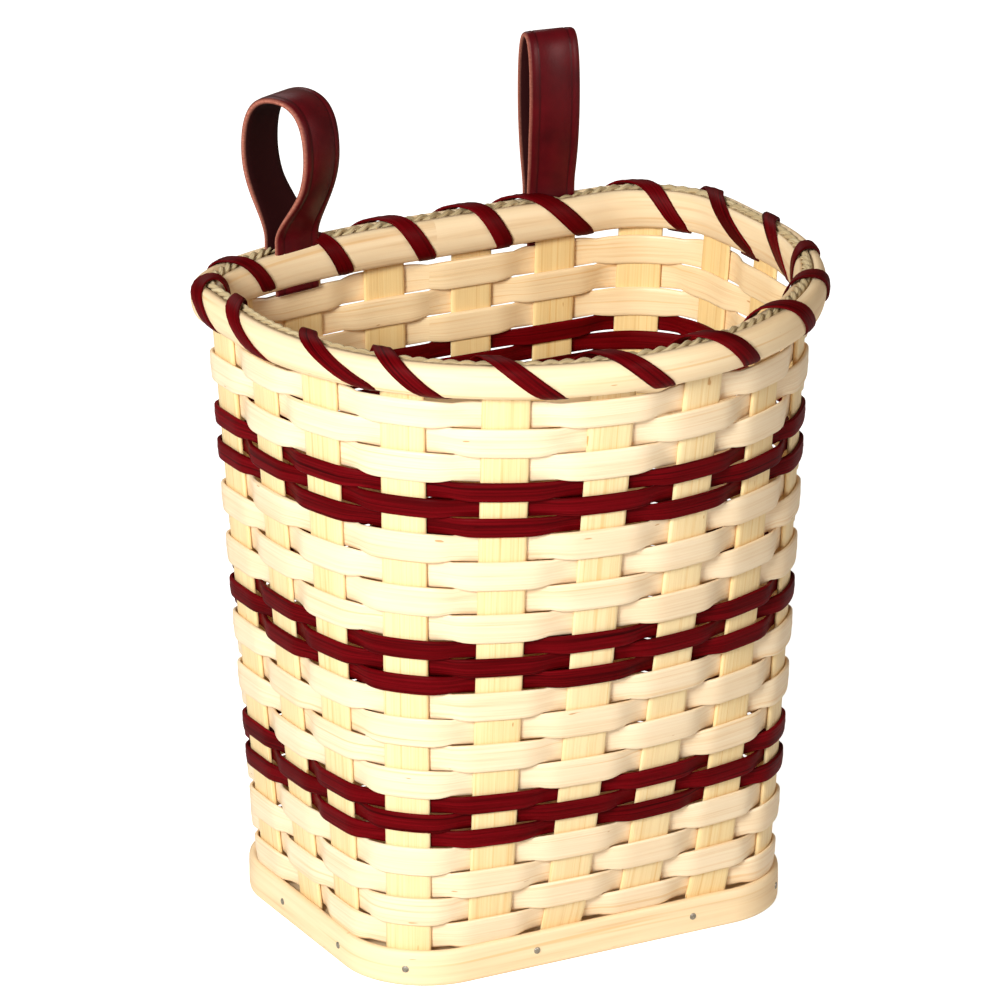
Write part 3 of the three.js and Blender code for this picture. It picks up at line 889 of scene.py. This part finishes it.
def strap_line(depth, feet, loop_top):
    """Middle line of the strap as offsets and heights: up one tail, round the loop, down the other."""
    half = (depth - STRAP_THICK) / 2
    foot = feet / 2
    top = loop_top - STRAP_THICK / 2
    belly = PIVOT_Z + (top - PIVOT_Z) * LOOP_BELLY
    rise = (belly - PIVOT_Z) * LEG_PULL
    shoulder = (top - belly) * SHOULDER_PULL
    tail_z = np.linspace(TAIL_BOTTOM, PIVOT_Z, TAIL_STEPS, endpoint=False)
    tail = np.stack([np.full(TAIL_STEPS, -foot), tail_z], -1)
    foot_rise = rise * FOOT_PULL
    leg = bezier((-foot, PIVOT_Z), (-foot, PIVOT_Z + foot_rise), (-half, belly - rise), (-half, belly))
    bow = bezier((-half, belly), (-half, belly + shoulder), (-half * CROWN_PULL, top), (0, top))
    first = np.concatenate([tail, leg, bow])
    second = first[::-1] * (-1, 1)
    return np.concatenate([first, [(0, top)], second])


def make_strap(side_name, count, depth, feet, side, turn):
    """Strap folded into a loop, with its tails down in the rim; the piece is attached to no body."""
    loop_top = heights(f"belt_loop_{side_name}")[1]
    line = strap_line(depth, feet, loop_top)
    way = np.gradient(line, axis=0)
    way /= np.linalg.norm(way, axis=1, keepdims=True)
    normal = np.stack([-way[:, 1], way[:, 0]], -1)
    pared = np.clip((line[:, 1] - PIVOT_Z) / PARED_RUN, 0, 1)
    thick = TAIL_THICK + (STRAP_THICK - TAIL_THICK) * pared
    across, lift = strap_profile()
    offset = line[:, :1] + normal[:, :1] * lift[None, :] * thick[:, None]
    z = line[:, 1:] + normal[:, 1:] * lift[None, :] * thick[:, None]
    rise = np.clip((z - PIVOT_Z) / (loop_top - PIVOT_Z) / TURN_SHARE, 0, 1)
    angle = turn * rise * rise * (3 - 2 * rise)
    shift = np.broadcast_to(across[None, :], offset.shape)
    turned_out = offset * np.cos(angle) - shift * np.sin(angle)
    turned_along = offset * np.sin(angle) + shift * np.cos(angle)
    u = place(count)
    out = outward(u, RIM_TOP)
    along = np.cross(out, UP)
    seat = side * (TAIL_SEAT + 2 * TAIL_THICK - feet / 2)
    pivot = (wall(u, RIM_TOP) + out * seat) * IN_PLAN
    rings = pivot + out * turned_out[..., None] + along * turned_along[..., None] + UP * z[..., None]
    name = f"look_belt_loop_{side_name}"
    piece = sweep(name, rings, across, False, STRAP_TINT, LEATHER, body=None)
    # Masks for the paler raw edges, and for the painted shade on the flesh side and in the creases
    edge = np.clip((np.abs(across) / STRAP_WIDTH - RAW_EDGE_START) / RAW_EDGE_RUN, 0, 1)
    crease = np.isclose(np.abs(across), CREASE_PLACE * STRAP_WIDTH) & (lift > 0)
    for region, values in (("edge", edge), ("flesh", lift < 0), ("crease", crease)):
        set_attribute(piece.data, region, np.tile(values, len(line)))
    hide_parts(f"belt_loop_{side_name}", f"belt_loop_{side_name}_tail")
    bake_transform(piece)


for loop_shape in LOOPS:
    make_strap(*loop_shape)


# Stage: floor, light and camera

def make_floor():
    """White floor that also glows for the camera, so that the background is pure white."""
    mesh = bpy.data.meshes.new("floor")
    corners = [(-1, -1), (1, -1), (1, 1), (-1, 1)]
    points = [(x * FLOOR_HALF_WIDTH, y * FLOOR_HALF_WIDTH, 0) for x, y in corners]
    mesh.from_pydata(points, [], [(0, 1, 2, 3)])
    material, nodes, links, surface = new_material("floor_white")
    surface.inputs["Base Color"].default_value = (0.9, 0.9, 0.9, 1)
    surface.inputs["Roughness"].default_value = 0.9
    surface.inputs["Specular IOR Level"].default_value = 0.0
    surface.inputs["Emission Color"].default_value = (1, 1, 1, 1)
    ray = nodes.new("ShaderNodeLightPath")
    glow = math_node(nodes, links, "MULTIPLY", ray.outputs["Is Camera Ray"], FLOOR_GLOW)
    links.new(glow, surface.inputs["Emission Strength"])
    mesh.materials.append(material)
    floor = bpy.data.objects.new("floor", mesh)
    bpy.context.collection.objects.link(floor)


def make_lamp(name, location, size, power, colour=(1, 1, 1), sheen_only=False):
    """Round lamp that the camera does not see; one for sheen alone leaves matt light as it is."""
    light = bpy.data.lights.new(name, "AREA")
    light.shape = "DISK"
    light.size = size
    light.energy = power
    light.color = colour
    lamp = bpy.data.objects.new(name, light)
    lamp.location = location
    lamp.visible_camera = False
    lamp.visible_diffuse = not sheen_only
    lamp.rotation_euler = (LAMP_AIM - Vector(location)).to_track_quat("-Z", "Y").to_euler()
    bpy.context.collection.objects.link(lamp)


def make_sky():
    world = bpy.data.worlds.new("studio")
    world.use_nodes = True
    background = world.node_tree.nodes["Background"]
    background.inputs["Color"].default_value = SKY_COLOUR
    background.inputs["Strength"].default_value = SKY_STRENGTH
    bpy.context.scene.world = world


def make_camera():
    data = bpy.data.cameras.new("camera")
    data.sensor_width = CAMERA_SENSOR
    data.lens = CAMERA_LENS
    data.shift_x, data.shift_y = CAMERA_SHIFT
    data.clip_end = CAMERA_FAR
    camera = bpy.data.objects.new("camera", data)
    level = math.cos(CAMERA_ELEVATION)
    back = Vector(
        (math.sin(CAMERA_AZIMUTH) * level, -math.cos(CAMERA_AZIMUTH) * level, math.sin(CAMERA_ELEVATION))
    )
    camera.location = CAMERA_TARGET + back * CAMERA_DISTANCE
    camera.rotation_euler = (-back).to_track_quat("-Z", "Y").to_euler()
    bpy.context.collection.objects.link(camera)
    bpy.context.scene.camera = camera


make_floor()
make_lamp("key", (-1.34, -1.05, 0.95), size=0.6, power=43.5, colour=(0.93, 1, 1))
make_lamp("fill", (1.2, -1.2, 0.8), size=1.0, power=4, colour=(0.96, 0.92, 0.84))
make_lamp("back", (0.3, 1.4, 1.4), size=1.0, power=6)
make_lamp("sheen", (0.55, -1.32, 0.56), size=0.5, power=12, colour=(1, 0.95, 0.9), sheen_only=True)
make_sky()
make_camera()
bpy.context.scene.view_settings.view_transform = "Standard"
